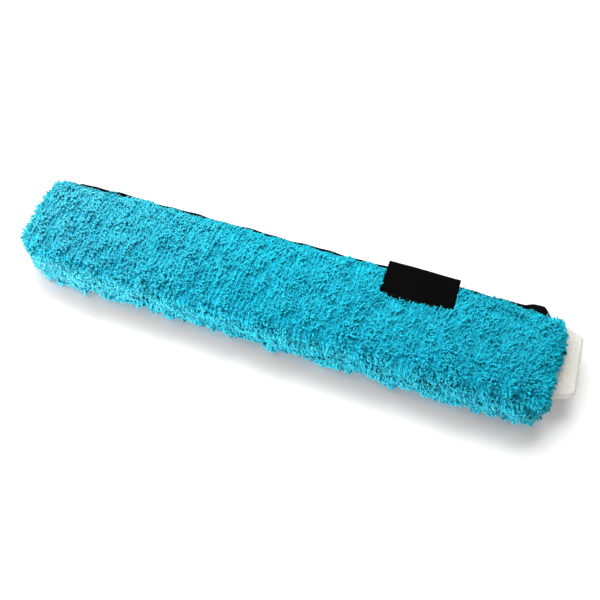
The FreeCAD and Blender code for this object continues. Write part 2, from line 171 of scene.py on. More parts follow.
def knitted_ground(node, name, bears_pile):
    """The cloth without its pile: a copy of the node, sunk by the height of the pile wherever pile grows."""
    mesh = cut_copy(node, GROUND_STEP)
    centres = np.array([face.center for face in mesh.polygons])
    normals = np.array([face.normal for face in mesh.polygons])
    grows = bears_pile(centres, normals)
    outward = np.zeros((len(mesh.vertices), 3))
    for face in mesh.polygons:
        if grows[face.index]:
            outward[list(face.vertices)] += face.normal
    outward /= np.maximum(np.linalg.norm(outward, axis=1, keepdims=True), 1e-9)
    up = np.clip(outward[:, 2], 0, 1)
    to_mouth = np.clip(outward[:, 1], 0, 1) ** 2
    depth = PILE_DEPTH + (FRONT_DEPTH - PILE_DEPTH) * up + (EDGE_DEPTH - PILE_DEPTH) * to_mouth
    lumps = [noise.noise(vertex.co / LUMP_SIZE) for vertex in mesh.vertices]
    depth += LUMP * (np.array(lumps) + LUMP_SINK)
    places = np.array([vertex.co for vertex in mesh.vertices]) - outward * depth[:, None]
    mesh.vertices.foreach_set("co", places.ravel())
    mesh.attributes.new("bears_pile", "BOOLEAN", "FACE").data.foreach_set("value", grows)
    mesh.update()
    return new_piece(name, mesh, ground_material)


def outside_of_fold(centres, normals):
    """Which faces of the folded cloth bear pile: all but those of the pocket, mouth and pad's slot."""
    x, y, z = centres.T
    slack = 1.2 * MM
    pocket_round = 6 * MM
    half_slot = 7 * MM
    under_roll = 3 * MM
    within = np.abs(x) < pocket_high.x + slack
    at_mouth = y > crease.y - slack
    in_pocket = within & ~at_mouth & (y > pocket_low.y - pocket_round)
    in_pocket &= (z > pocket_low.z - slack) & (z < pocket_high.z + slack)
    in_mouth = within & at_mouth & (z > pocket_low.z - slack) & (normals[:, 2] < 0.7)
    on_back_lip = within & at_mouth & (np.abs(z - pocket_low.z) < slack)
    in_slot = (x > pad_low.x - slack) & (y > pad_low.y - slack) & (y < pad_high.y + slack)
    in_slot &= np.abs(z - (pad_low.z + pad_high.z) / 2) < half_slot
    by_binding = (y > back_roll_low.y) & (z > back_roll_low.z - under_roll) & (z < back_roll_high.z + slack)
    return ~(in_pocket | in_mouth | on_back_lip | in_slot | by_binding)


# Dyed polyester knit, duller and ribbed on its bare side. Where the yarn ends leave it, it is coloured
# brighter than its dye: painted light for the light that gets down between the ends. The ribs are drawn at
# twice their pitch, because the real ones are too fine to show.
BARE_SIDE = "#149CC0"
PILED_SIDE_PAINTED_LIGHT = "#00DEFF"
COURSE = 2.2 * MM
RIB = 0.6 * MM
ground_material, tree, shader = new_material("warp_knit_ground", BARE_SIDE, Roughness=0.85)
piled = add_node(tree, "ShaderNodeAttribute", attribute_name="bears_pile")
# The side that bears pile gets the brighter colour, with painted light in it.
side = add_node(
    tree,
    "ShaderNodeMix",
    {0: piled.outputs["Fac"], 6: linear(BARE_SIDE), 7: linear(PILED_SIDE_PAINTED_LIGHT)},
    data_type="RGBA",
)
tree.links.new(side.outputs[2], shader.inputs["Base Color"])
place = add_node(tree, "ShaderNodeTexCoord")
courses = add_node(
    tree,
    "ShaderNodeTexWave",
    {"Vector": place.outputs["Object"], "Scale": 1 / (math.pi * COURSE), "Distortion": 1.5, "Detail": 1.0},
    bands_direction="X",
)
ribs = add_node(tree, "ShaderNodeBump", {"Strength": 0.6, "Distance": RIB, "Height": courses.outputs["Fac"]})
tree.links.new(ribs.outputs["Normal"], shader.inputs["Normal"])

# Split polyester and polyamide yarn, dyed in the fibre: clear cyan with a faint sheen. Painted light runs
# along each end: it is coloured brightest at the root, for the light that gets down between the ends, and
# darkest at the tip. The tips are paler where they are frayed along the fold, and a painted sheen pales them
# towards the left end. Light goes round such a bundle of fibres, so it is shaded mostly by the way that the
# cloth faces.
YARN = "#00C6E2"
YARN_ROOT_PAINTED_LIGHT = "#00DEFF"
YARN_MIDDLE = "#00D4FA"
YARN_TIP = "#08C2E4"
FRAY_AND_SHEEN_TIP = "#46CEF0"
DYE_LOW = 0.96
DYE_HIGH = 1.04
LIT_ROUND = 0.76
pile_material, tree, shader = new_material(
    "split_microfibre_yarn",
    YARN,
    Roughness=0.6,
    Specular_IOR_Level=0.15,
    Subsurface_Weight=0.6,
    Subsurface_Radius=(0.7, 1.0, 1.0),
    Subsurface_Scale=2.5 * MM,
)
rise = add_node(tree, "ShaderNodeAttribute", attribute_name="rise").outputs["Fac"]
dye_and_shade = add_node(tree, "ShaderNodeAttribute", attribute_name="dye_and_shade").outputs["Fac"]
fray_and_sheen = add_node(tree, "ShaderNodeAttribute", attribute_name="fray_and_sheen").outputs["Fac"]
# Painted light: this ramp makes the yarn brightest at the root and darkest at the tip.
ramp = add_node(tree, "ShaderNodeValToRGB", {"Fac": rise})
ramp.color_ramp.elements[0].color = linear(YARN_ROOT_PAINTED_LIGHT)
ramp.color_ramp.elements[1].color = linear(YARN_TIP)
ramp.color_ramp.elements.new(0.6).color = linear(YARN_MIDDLE)
# The random dye, with painted shade deepening towards the right end, sets the colour's value.
shade = add_node(
    tree, "ShaderNodeMapRange", {"Value": dye_and_shade, "To Min": DYE_LOW, "To Max": DYE_HIGH}, clamp=False
)
# How pale a tip is: frayed along the fold, with a painted sheen towards the left end.
spread = add_node(tree, "ShaderNodeMath", {0: fray_and_sheen, 1: rise}, operation="MULTIPLY")
pale_tipped = add_node(
    tree,
    "ShaderNodeMix",
    {0: spread.outputs[0], 6: ramp.outputs["Color"], 7: linear(FRAY_AND_SHEEN_TIP)},
    data_type="RGBA",
)
varied = add_node(
    tree, "ShaderNodeHueSaturation", {"Color": pale_tipped.outputs[2], "Value": shade.outputs["Result"]}
)

# The shadow in the photograph has hardly any blue in it, so the floor, and whatever else lies farther off
# than the other yarn ends, gets a dull grey from the pile and not its colour.
FAR = 8 * MM
THROWN_GREY = "#504844"
path = add_node(tree, "ShaderNodeLightPath").outputs
distant = add_node(tree, "ShaderNodeMath", {0: path["Ray Length"], 1: FAR}, operation="GREATER_THAN")
from_floor = add_node(
    tree, "ShaderNodeMath", {0: distant.outputs[0], 1: path["Is Diffuse Ray"]}, operation="MULTIPLY"
)
thrown = add_node(
    tree,
    "ShaderNodeMix",
    {0: from_floor.outputs[0], 6: varied.outputs["Color"], 7: linear(THROWN_GREY)},
    data_type="RGBA",
)
tree.links.new(thrown.outputs[2], shader.inputs["Base Color"])
lie = add_node(tree, "ShaderNodeAttribute", attribute_name="outward")
outward = add_node(
    tree,
    "ShaderNodeVectorTransform",
    {0: lie.outputs["Vector"]},
    vector_type="NORMAL",
    convert_from="OBJECT",
    convert_to="WORLD",
)
own = add_node(tree, "ShaderNodeNewGeometry")
bundle = add_node(
    tree, "ShaderNodeMix", {0: LIT_ROUND, 4: own.outputs["Normal"], 5: outward.outputs[0]}, data_type="VECTOR"
)
lit = add_node(tree, "ShaderNodeVectorMath", {0: bundle.outputs[1]}, operation="NORMALIZE")
tree.links.new(lit.outputs[0], shader.inputs["Normal"])

# The tree that plants the pile: roots on the ground, one yarn end on each, then the lie of the whole.
# The spacing alone decides how many roots there are, because many more places are tried than it lets stand.
TRIES = 4
TUFT_SPACING = 0.88 * MM
TUFT_LENGTH = 3.0 * MM
TUFT_WIDTH = 1.6 * MM
TUFT_SIDES = 4
TUFT_RINGS = 3
pile_tree, given = new_tree(
    "pile of yarn ends",
    {"Ground": "Geometry", "From": "Float", "To": "Float", "Seed": "Int", "Yarn": "Material"},
)
here = add_node(pile_tree, "GeometryNodeInputPosition").outputs[0]
root = add_node(pile_tree, "ShaderNodeSeparateXYZ", {0: here}).outputs
past = add_node(pile_tree, "FunctionNodeCompare", {0: root["X"], 1: given["From"]}, operation="GREATER_THAN")
short = add_node(pile_tree, "FunctionNodeCompare", {0: root["X"], 1: given["To"]}, operation="LESS_EQUAL")
stretch = add_node(pile_tree, "FunctionNodeBooleanMath", {0: past.outputs[0], 1: short.outputs[0]})
growing = add_node(pile_tree, "GeometryNodeInputNamedAttribute", {"Name": "bears_pile"}, data_type="BOOLEAN")
chosen = add_node(pile_tree, "FunctionNodeBooleanMath", {0: stretch.outputs[0], 1: growing.outputs[0]})
roots = add_node(
    pile_tree,
    "GeometryNodeDistributePointsOnFaces",
    {
        "Mesh": given["Ground"],
        "Selection": chosen.outputs[0],
        "Distance Min": TUFT_SPACING,
        "Density Max": TRIES / TUFT_SPACING**2,
        "Seed": given["Seed"],
    },
    distribute_method="POISSON",
)

# One yarn end: a short curved tube, thinner where it is knitted in, and closing at the tip.
yarn = add_node(
    pile_tree,
    "GeometryNodeCurvePrimitiveBezierSegment",
    {
        "Resolution": TUFT_RINGS,
        "Start": (0, 0, 0),
        "Start Handle": (0, 0, 0.4 * TUFT_LENGTH),
        "End Handle": (0.1 * TUFT_LENGTH, 0, 0.8 * TUFT_LENGTH),
        "End": (0.35 * TUFT_LENGTH, 0, TUFT_LENGTH),
    },
)
along = add_node(pile_tree, "GeometryNodeSplineParameter").outputs["Factor"]
marked = add_node(
    pile_tree,
    "GeometryNodeStoreNamedAttribute",
    {"Geometry": yarn.outputs[0], "Name": "rise", "Value": along},
)
fullness = add_node(pile_tree, "ShaderNodeFloatCurve", {"Value": along})
fullness.mapping.curves[0].points[0].location = (0, 0.8)
fullness.mapping.curves[0].points[1].location = (1, 0.6)
fullness.mapping.curves[0].points.new(0.5, 1)
fullness.mapping.curves[0].points.new(0.85, 0.95)
fullness.mapping.update()
girth = add_node(
    pile_tree, "GeometryNodeCurvePrimitiveCircle", {"Resolution": TUFT_SIDES, "Radius": TUFT_WIDTH / 2}
)
tuft = add_node(
    pile_tree,
    "GeometryNodeCurveToMesh",
    {
        "Curve": marked.outputs[0],
        "Profile Curve": girth.outputs[0],
        "Scale": fullness.outputs[0],
        "Fill Caps": True,
    },
)

# The roots gather in the rows that the knitting leaves, which run from the fold to the mouth. Each end leans
# its own way, mostly up or down the cloth, and the front as a whole is combed up, away from the fold.
ROW_PITCH = 3.1 * MM
ROW_PULL = 0.6 * MM
COMBED = 1.1
SWIRL_SIZE = 12 * MM
SWIRL_LEAN = 0.6
OWN_LEAN = 0.45
OWN_TILT = Vector((0.22, 0.2, 0.2))
phase = add_node(pile_tree, "ShaderNodeMath", {0: root["X"], 1: math.tau / ROW_PITCH}, operation="MULTIPLY")
wave = add_node(pile_tree, "ShaderNodeMath", {0: phase.outputs[0]}, operation="SINE")
pull = add_node(pile_tree, "ShaderNodeMath", {0: wave.outputs[0], 1: -ROW_PULL}, operation="MULTIPLY")
to_row = add_node(pile_tree, "ShaderNodeCombineXYZ", {0: pull.outputs[0]})
gathered = add_node(
    pile_tree, "GeometryNodeSetPosition", {"Geometry": roots.outputs[0], "Offset": to_row.outputs[0]}
)
normal = roots.outputs["Normal"]
facing = add_node(pile_tree, "ShaderNodeSeparateXYZ", {0: normal}).outputs
from_fold = add_node(
    pile_tree,
    "ShaderNodeMapRange",
    {"Value": root["Y"], "From Min": cloth_low.y, "From Max": 0.0, "To Min": 0.0, "To Max": COMBED},
    interpolation_type="SMOOTHSTEP",
)
to_edge = add_node(
    pile_tree,
    "ShaderNodeMapRange",
    {"Value": root["Y"], "From Min": label_low.y, "From Max": cloth_high.y, "To Min": 1.0, "To Max": 0.0},
    interpolation_type="SMOOTHSTEP",
)
comb = add_node(
    pile_tree, "ShaderNodeMath", {0: from_fold.outputs[0], 1: to_edge.outputs[0]}, operation="MULTIPLY"
)
comb_up = add_node(pile_tree, "ShaderNodeMath", {0: comb.outputs[0], 1: facing["Z"]}, operation="MULTIPLY")
combed = add_node(pile_tree, "ShaderNodeCombineXYZ", {1: comb_up.outputs[0]})
down_cloth = add_node(pile_tree, "ShaderNodeVectorMath", {0: (1, 0, 0), 1: normal}, operation="CROSS_PRODUCT")
swirl = add_node(pile_tree, "ShaderNodeTexNoise", {"Scale": 1 / SWIRL_SIZE, "Detail": 1.0})
patch = add_node(
    pile_tree,
    "ShaderNodeMapRange",
    {
        "Value": swirl.outputs["Fac"],
        "From Min": 0.3,
        "From Max": 0.7,
        "To Min": -SWIRL_LEAN,
        "To Max": SWIRL_LEAN,
    },
)
own_lean = add_node(
    pile_tree, "FunctionNodeRandomValue", {2: -OWN_LEAN, 3: OWN_LEAN, 8: given["Seed"]}, data_type="FLOAT"
)
lean = add_node(pile_tree, "ShaderNodeMath", {0: patch.outputs[0], 1: own_lean.outputs[1]}, operation="ADD")
leaning = add_node(
    pile_tree, "ShaderNodeVectorMath", {0: down_cloth.outputs[0], "Scale": lean.outputs[0]}, operation="SCALE"
)
own_tilt = add_node(
    pile_tree,
    "FunctionNodeRandomValue",
    {0: -OWN_TILT, 1: OWN_TILT, 8: given["Seed"]},
    data_type="FLOAT_VECTOR",
)
standing = leaning.outputs[0]
for sway in (combed.outputs[0], own_tilt.outputs[0], normal):
    swayed = add_node(pile_tree, "ShaderNodeVectorMath", {0: standing, 1: sway}, operation="ADD")
    standing = swayed.outputs[0]
upright = add_node(pile_tree, "FunctionNodeAlignRotationToVector", {"Vector": standing}, axis="Z")
turn = add_node(
    pile_tree, "FunctionNodeRandomValue", {2: 0.0, 3: math.tau, 8: given["Seed"]}, data_type="FLOAT"
)
spin = add_node(pile_tree, "FunctionNodeAxisAngleToRotation", {"Axis": (0, 0, 1), "Angle": turn.outputs[1]})
turned = add_node(
    pile_tree,
    "FunctionNodeRotateRotation",
    {0: upright.outputs[0], 1: spin.outputs[0]},
    rotation_space="LOCAL",
)

# The height of the pile: every end is cut a little differently, drawn-out clumps part it, deepest by the
# fold, and it is trimmed shorter towards the mouth.
UNEVEN = 0.2
CLUMP_SIZE = 6 * MM
CLUMP_STRETCH = (1, 0.45, 1)
PARTING = 0.25
FOLD_PARTING = 0.45
FOLD_BAND = 14 * MM
MOUTH_BAND = 9 * MM
TRIMMED = 0.5
growth = add_node(
    pile_tree, "FunctionNodeRandomValue", {2: 1 - UNEVEN, 3: 1 + UNEVEN, 8: given["Seed"]}, data_type="FLOAT"
)
near_fold = add_node(
    pile_tree,
    "ShaderNodeMapRange",
    {
        "Value": root["Y"],
        "From Min": cloth_low.y,
        "From Max": cloth_low.y + FOLD_BAND,
        "To Min": 1.0,
        "To Max": 0.0,
    },
    interpolation_type="SMOOTHSTEP",
)
drawn_out = add_node(pile_tree, "ShaderNodeVectorMath", {0: here, 1: CLUMP_STRETCH}, operation="MULTIPLY")
clumps = add_node(
    pile_tree, "ShaderNodeTexNoise", {"Vector": drawn_out.outputs[0], "Scale": 1 / CLUMP_SIZE, "Detail": 0.0}
)
clump = add_node(
    pile_tree,
    "ShaderNodeMapRange",
    {"Value": clumps.outputs["Fac"], "From Min": 0.35, "From Max": 0.65, "To Min": -1.0, "To Max": 1.0},
)
depth = add_node(
    pile_tree,
    "ShaderNodeMapRange",
    {"Value": near_fold.outputs[0], "To Min": PARTING, "To Max": FOLD_PARTING},
)
parted = add_node(
    pile_tree, "ShaderNodeMath", {0: clump.outputs[0], 1: depth.outputs[0], 2: 1.0}, operation="MULTIPLY_ADD"
)
trimmed = add_node(
    pile_tree,
    "ShaderNodeMapRange",
    {
        "Value": root["Y"],
        "From Min": cloth_high.y - MOUTH_BAND,
        "From Max": cloth_high.y,
        "To Min": 1.0,
        "To Max": TRIMMED,
    },
)
height = growth.outputs[1]
for change in (parted, trimmed):
    cut = add_node(pile_tree, "ShaderNodeMath", {0: height, 1: change.outputs[0]}, operation="MULTIPLY")
    height = cut.outputs[0]

# Where the pile is pressed down or fluffed up: middle in X, Y and Z, radius, and the share of its height
# left. Lengths are in millimetres.
HANDLED = (
    ((-45, 24, 28), 8, 0.3),
    ((45, 25, 26), 12, 0.55),
    ((-162, 37, 22), 12, 0.1),
    ((-145, 37, 22), 10, 0.2),
    ((-131, 37, 22), 6, 0.1),
    ((-103, 37, 22), 5, 0.3),
    ((-6, 37, 22), 6, 0.2),
    ((14, 37, 22), 9, 0.1),
    ((27, 37, 22), 8, 0.2),
    ((55, 37, 22), 8, 0.2),
    ((150, 37, 22), 9, 0.3),
    ((166, 37, 22), 11, 0.1),
    ((70, 11, 30), 14, 0.45),
    ((88, 11, 30), 12, 0.6),
    ((112, 16, 28), 9, 1.5),
    ((20, -38, 10), 9, 1.5),
    ((-168, -34, 8), 24, 0.55),
    ((128, -38, 6), 12, 0.6),
)
for middle, radius, share in HANDLED:
    centre = tuple(coordinate * MM for coordinate in middle)
    away = add_node(pile_tree, "ShaderNodeVectorMath", {0: here, 1: centre}, operation="DISTANCE")
    left = add_node(
        pile_tree,
        "ShaderNodeMapRange",
        {"Value": away.outputs["Value"], "From Max": radius * MM, "To Min": share, "To Max": 1.0},
        interpolation_type="SMOOTHSTEP",
    )
    pressed = add_node(pile_tree, "ShaderNodeMath", {0: height, 1: left.outputs[0]}, operation="MULTIPLY")
    height = pressed.outputs[0]
planted = add_node(
    pile_tree,
    "GeometryNodeInstanceOnPoints",
    {
        "Points": gathered.outputs[0],
        "Instance": tuft.outputs[0],
        "Rotation": turned.outputs[0],
        "Scale": height,
    },
)

# What the material reads from each end: its dye, which varies at random and carries painted shade that
# deepens towards the right end; how pale its tip is, frayed along the fold and with a painted sheen towards
# the left end; and the way that the cloth faces.
RIGHT_SHADE = 2.6
LEFT_SHEEN = 0.7
LEFT_SHEEN_TO = -30 * MM
FOLD_FRAY = 0.45
dye = add_node(pile_tree, "FunctionNodeRandomValue", {2: 0.0, 3: 1.0, 8: given["Seed"]}, data_type="FLOAT")
# Painted shade: the dye is made deeper towards the right end.
right_shade = add_node(
    pile_tree,
    "ShaderNodeMapRange",
    {"Value": root["X"], "From Min": 0.0, "From Max": cloth_high.x, "To Min": 0.0, "To Max": RIGHT_SHADE},
)
dye_and_right_shade = add_node(
    pile_tree, "ShaderNodeMath", {0: dye.outputs[1], 1: right_shade.outputs[0]}, operation="SUBTRACT"
)
# Painted sheen: the tips are paled towards the left end.
left_sheen = add_node(
    pile_tree,
    "ShaderNodeMapRange",
    {"Value": root["X"], "From Min": cloth_low.x, "From Max": LEFT_SHEEN_TO, "To Min": LEFT_SHEEN, "To Max": 0.0},
)
paler = add_node(
    pile_tree,
    "ShaderNodeMath",
    {0: near_fold.outputs[0], 1: FOLD_FRAY, 2: left_sheen.outputs[0]},
    operation="MULTIPLY_ADD",
)
ends = planted.outputs[0]
for name, kind, source in (
    ("dye_and_shade", "FLOAT", dye_and_right_shade.outputs[0]),
    ("fray_and_sheen", "FLOAT", paler.outputs[0]),
    ("outward", "FLOAT_VECTOR", normal),
):
    stored = add_node(
        pile_tree,
        "GeometryNodeStoreNamedAttribute",
        {"Geometry": ends, "Name": name, "Value": source},
        data_type=kind,
        domain="INSTANCE",
    )
    ends = stored.outputs[0]
real = add_node(pile_tree, "GeometryNodeRealizeInstances", {"Geometry": ends})

# The ends wander off their line as twisted yarn does, and those under the sleeve lie flat on the floor.
WANDER = 1.3 * MM
WANDER_SIZE = 4 * MM
FLOOR_GIVE = 0.9 * MM
wander = add_node(pile_tree, "ShaderNodeTexNoise", {"Scale": 1 / WANDER_SIZE, "Detail": 1.0})
off_line = add_node(
    pile_tree, "ShaderNodeVectorMath", {0: wander.outputs["Color"], 1: (0.5, 0.5, 0.5)}, operation="SUBTRACT"
)
risen = add_node(pile_tree, "GeometryNodeInputNamedAttribute", {"Name": "rise"}, data_type="FLOAT")
reach = add_node(pile_tree, "ShaderNodeMath", {0: risen.outputs[0], 1: 2 * WANDER}, operation="MULTIPLY")
wandering = add_node(
    pile_tree, "ShaderNodeVectorMath", {0: off_line.outputs[0], "Scale": reach.outputs[0]}, operation="SCALE"
)
loose = add_node(
    pile_tree, "GeometryNodeSetPosition", {"Geometry": real.outputs[0], "Offset": wandering.outputs[0]}
)
sunk = add_node(pile_tree, "ShaderNodeMath", {0: root["Z"], 1: FLOOR_GIVE}, operation="SUBTRACT")
share = add_node(pile_tree, "ShaderNodeMath", {0: sunk.outputs[0], 1: FLOOR_GIVE}, operation="DIVIDE")
pressed = add_node(pile_tree, "ShaderNodeMath", {0: share.outputs[0]}, operation="EXPONENT")
laid = add_node(pile_tree, "ShaderNodeMath", {0: pressed.outputs[0], 1: FLOOR_GIVE}, operation="MULTIPLY")
on_floor = add_node(pile_tree, "ShaderNodeCombineXYZ", {0: root["X"], 1: root["Y"], 2: laid.outputs[0]})
low = add_node(pile_tree, "FunctionNodeCompare", {0: root["Z"], 1: FLOOR_GIVE}, operation="LESS_THAN")
resting = add_node(
    pile_tree,
    "GeometryNodeSetPosition",
    {"Geometry": loose.outputs[0], "Selection": low.outputs[0], "Position": on_floor.outputs[0]},
)
give_back(pile_tree, resting.outputs[0], given["Yarn"])


def grow_pile(ground, name, start, end, seed):
    """The pile on one stretch of a ground, from start to end along X."""
    pile = new_piece(name, ground.data.copy())
    run_tree(pile, pile_tree, {"From": start, "To": end, "Seed": seed, "Yarn": pile_material})
    return pile


STRETCHES = 10
sleeve_ground = knitted_ground("pile_cloth", "sleeve_ground", outside_of_fold)
stands_for(sleeve_ground, "sleeve", "pile", "pile_cloth")
step = (cloth_high.x - cloth_low.x) / STRETCHES
for number in range(STRETCHES):
    start = cloth_low.x + step * number
    pile = grow_pile(sleeve_ground, f"sleeve_pile_{number + 1}", start, start + step, number)
    stands_for(pile, "sleeve", "pile", "pile_cloth")

# The end seams: a row of lockstitch in blue polyester thread across each end of the pocket.
# Every thread that shows is a short arch between two needle holes.
THREAD_WIDTH = 0.7 * MM
THREAD_RISE = 0.55 * MM
STITCH = 3.4 * MM
thread_tree, given = new_tree("row of stitches", {"Holes": "Geometry", "Thread": "Material"})
arch = add_node(
    thread_tree,
    "GeometryNodeCurvePrimitiveBezierSegment",
    {
        "Resolution": 6,
        "Start": (-STITCH / 2, 0, -THREAD_WIDTH / 2),
        "Start Handle": (-STITCH / 3, 0, THREAD_RISE),
        "End Handle": (STITCH / 3, 0, THREAD_RISE),
        "End": (STITCH / 2, 0, -THREAD_WIDTH / 2),
    },
)
round_thread = add_node(
    thread_tree, "GeometryNodeCurvePrimitiveCircle", {"Resolution": 6, "Radius": THREAD_WIDTH / 2}
)
one = add_node(
    thread_tree,
    "GeometryNodeCurveToMesh",
    {"Curve": arch.outputs[0], "Profile Curve": round_thread.outputs[0], "Fill Caps": True},
)
out = add_node(thread_tree, "GeometryNodeInputNamedAttribute", {"Name": "out"}, data_type="FLOAT_VECTOR")
run = add_node(thread_tree, "GeometryNodeInputNamedAttribute", {"Name": "run"}, data_type="FLOAT_VECTOR")
raised = add_node(thread_tree, "FunctionNodeAlignRotationToVector", {"Vector": out.outputs[0]}, axis="Z")
lined_up = add_node(
    thread_tree,
    "FunctionNodeAlignRotationToVector",
    {"Rotation": raised.outputs[0], "Vector": run.outputs[0]},
    axis="X",
    pivot_axis="Z",
)
sewn = add_node(
    thread_tree,
    "GeometryNodeInstanceOnPoints",
    {"Points": given["Holes"], "Instance": one.outputs[0], "Rotation": lined_up.outputs[0]},
)
real = add_node(thread_tree, "GeometryNodeRealizeInstances", {"Geometry": sewn.outputs[0]})
give_back(thread_tree, real.outputs[0], given["Thread"])


def middles_of(node):
    """The middle of every separate thread of a node."""
    work = bmesh.new()
    work.from_mesh(frame["nodes"][node].data)
    bmesh.ops.remove_doubles(work, verts=work.verts, dist=WELD)
    waiting = set(work.verts)
    middles = []
    while waiting:
        reached = [waiting.pop()]
        corners = []
        while reached:
            corner = reached.pop()
            corners.append(corner.co.copy())
            near = {edge.other_vert(corner) for edge in corner.link_edges} & waiting
            waiting -= near
            reached.extend(near)
        middles.append(sum(corners, Vector()) / len(corners))
    work.free()
    return sorted(middles, key=tuple)


def sew(node, name, body, slot, material, run, out):
    """The threads of a seam, one where the node has one. Run and out give its direction and upper side."""
    middles = middles_of(node)
    mesh = bpy.data.meshes.new(name)
    mesh.from_pydata(middles, [], [])
    for attribute, direction in (("run", run), ("out", out)):
        directions = [coordinate for middle in middles for coordinate in direction(middle)]
        mesh.attributes.new(attribute, "FLOAT_VECTOR", "POINT").data.foreach_set("vector", directions)
    seam = new_piece(name, mesh)
    run_tree(seam, thread_tree, {"Thread": material})
    stands_for(seam, body, slot, node)


# Twisted polyester filament: smooth, so it shines a little more than the cloth it sews.
seam_thread, tree, shader = new_material("blue_polyester_thread", "#57C3DE", Roughness=0.45)
sew(
    "end_seam_stitches",
    "end_seams",
    "sleeve",
    "seam_thread",
    seam_thread,
    run=lambda middle: (0, 1, 0),
    out=lambda middle: (-math.copysign(1, middle.x), 0, 0),
)

# The hook tapes: black woven nylon tape with a field of bent hooks, sewn flat on the back lip by both edges.
# The hooks are drawn thicker and wider apart than real ones, which are too fine to show.
HOOK_SPACING = 1.5 * MM
HOOK_WIRE = 0.32 * MM

# The woven tapes, in millimetres.
WEAVE_RELIEF = 0.1
TAPE_BASE = 1.0
TAPE_CORNER = 0.3
SELVEDGE = 2.0
strand_tree, given = new_tree(
    "field of strands",
    {
        "Field": "Geometry",
        "Spacing": "Float",
        "Wire": "Float",
        "Rise": "Vector",
        "Bend": "Vector",
        "End": "Vector",
        "Seed": "Int",
        "Strand": "Material",
    },
)
strand = add_node(
    strand_tree,
    "GeometryNodeCurvePrimitiveBezierSegment",
    {
        "Resolution": 6,
        "Start": (0, 0, 0),
        "Start Handle": given["Rise"],
        "End Handle": given["Bend"],
        "End": given["End"],
    },
)
wire = add_node(strand_tree, "GeometryNodeCurvePrimitiveCircle", {"Resolution": 4, "Radius": given["Wire"]})
bent = add_node(
    strand_tree,
    "GeometryNodeCurveToMesh",
    {"Curve": strand.outputs[0], "Profile Curve": wire.outputs[0], "Fill Caps": True},
)
thick = add_node(strand_tree, "ShaderNodeMath", {0: given["Spacing"], 1: -2.0}, operation="POWER")
close = add_node(strand_tree, "ShaderNodeMath", {0: thick.outputs[0], 1: TRIES}, operation="MULTIPLY")
feet = add_node(
    strand_tree,
    "GeometryNodeDistributePointsOnFaces",
    {
        "Mesh": given["Field"],
        "Distance Min": given["Spacing"],
        "Density Max": close.outputs[0],
        "Seed": given["Seed"],
    },
    distribute_method="POISSON",
)
turn = add_node(
    strand_tree, "FunctionNodeRandomValue", {2: 0.0, 3: math.tau, 8: given["Seed"]}, data_type="FLOAT"
)
spin = add_node(strand_tree, "FunctionNodeAxisAngleToRotation", {"Axis": (0, 0, 1), "Angle": turn.outputs[1]})
turned = add_node(
    strand_tree,
    "FunctionNodeRotateRotation",
    {0: feet.outputs["Rotation"], 1: spin.outputs[0]},
    rotation_space="LOCAL",
)
grown = add_node(
    strand_tree, "FunctionNodeRandomValue", {2: 0.85, 3: 1.0, 8: given["Seed"]}, data_type="FLOAT"
)
set_in = add_node(
    strand_tree,
    "GeometryNodeInstanceOnPoints",
    {
        "Points": feet.outputs[0],
        "Instance": bent.outputs[0],
        "Rotation": turned.outputs[0],
        "Scale": grown.outputs[1],
    },
)
real = add_node(strand_tree, "GeometryNodeRealizeInstances", {"Geometry": set_in.outputs[0]})
give_back(strand_tree, real.outputs[0], given["Strand"])


def rounded_outline(corners, steps=4):
    """The points of a closed outline, given as corners (y, z, radius) in millimetres."""
    points = []
    for number, (y, z, radius) in enumerate(corners):
        corner = Vector((y, z))
        before = Vector(corners[number - 1][:2]) - corner
        after = Vector(corners[(number + 1) % len(corners)][:2]) - corner
        start = corner + before.normalized() * min(radius, before.length / 2)
        end = corner + after.normalized() * min(radius, after.length / 2)
        for share in (step / steps for step in range(steps + 1)):
            points.append(start.lerp(corner, share).lerp(corner.lerp(end, share), share))
    return points


def sweep(name, stations, material):
    """A closed piece skinned over outlines in Y and Z, in millimetres, each at its own X."""
    count = len(stations[0][1])
    places = [(x * MM, y * MM, z * MM) for x, outline in stations for y, z in outline]
    faces = [tuple(range(count)), tuple(range(len(places) - count, len(places)))]
    for ring in range(len(stations) - 1):
        for corner in range(count):
            near = ring * count + corner
            beside = ring * count + (corner + 1) % count
            faces.append((near, beside, beside + count, near + count))
    mesh = bpy.data.meshes.new(name)
    mesh.from_pydata(places, [], faces)
    work = bmesh.new()
    work.from_mesh(mesh)
    bmesh.ops.remove_doubles(work, verts=work.verts, dist=WELD)
    bmesh.ops.recalc_face_normals(work, faces=work.faces)
    work.to_mesh(mesh)
    work.free()
    mesh.shade_smooth()
    return new_piece(name, mesh, material)


def even(start, end, count):
    """Count + 1 evenly spread places from start to end."""
    return [start + (end - start) * number / count for number in range(count + 1)]


def woven_black(name, colour, across, along, roughness):
    """Black woven tape with its threads as a fine relief, across and along being their pitches."""
    material, tree, shader = new_material(name, colour, Roughness=roughness, Specular_IOR_Level=0.01)
    place = add_node(tree, "ShaderNodeTexCoord").outputs["Object"]
    weft, warp = (
        add_node(
            tree,
            "ShaderNodeTexWave",
            {"Vector": place, "Scale": 1 / (math.pi * pitch)},
            bands_direction=direction,
        )
        for pitch, direction in ((across, "Y"), (along, "X"))
    )
    crossing = add_node(
        tree, "ShaderNodeMath", {0: weft.outputs["Fac"], 1: warp.outputs["Fac"]}, operation="MULTIPLY"
    )
    relief = add_node(
        tree,
        "ShaderNodeBump",
        {"Strength": 0.4, "Distance": WEAVE_RELIEF * MM, "Height": crossing.outputs[0]},
    )
    tree.links.new(relief.outputs["Normal"], shader.inputs["Normal"])
    return material


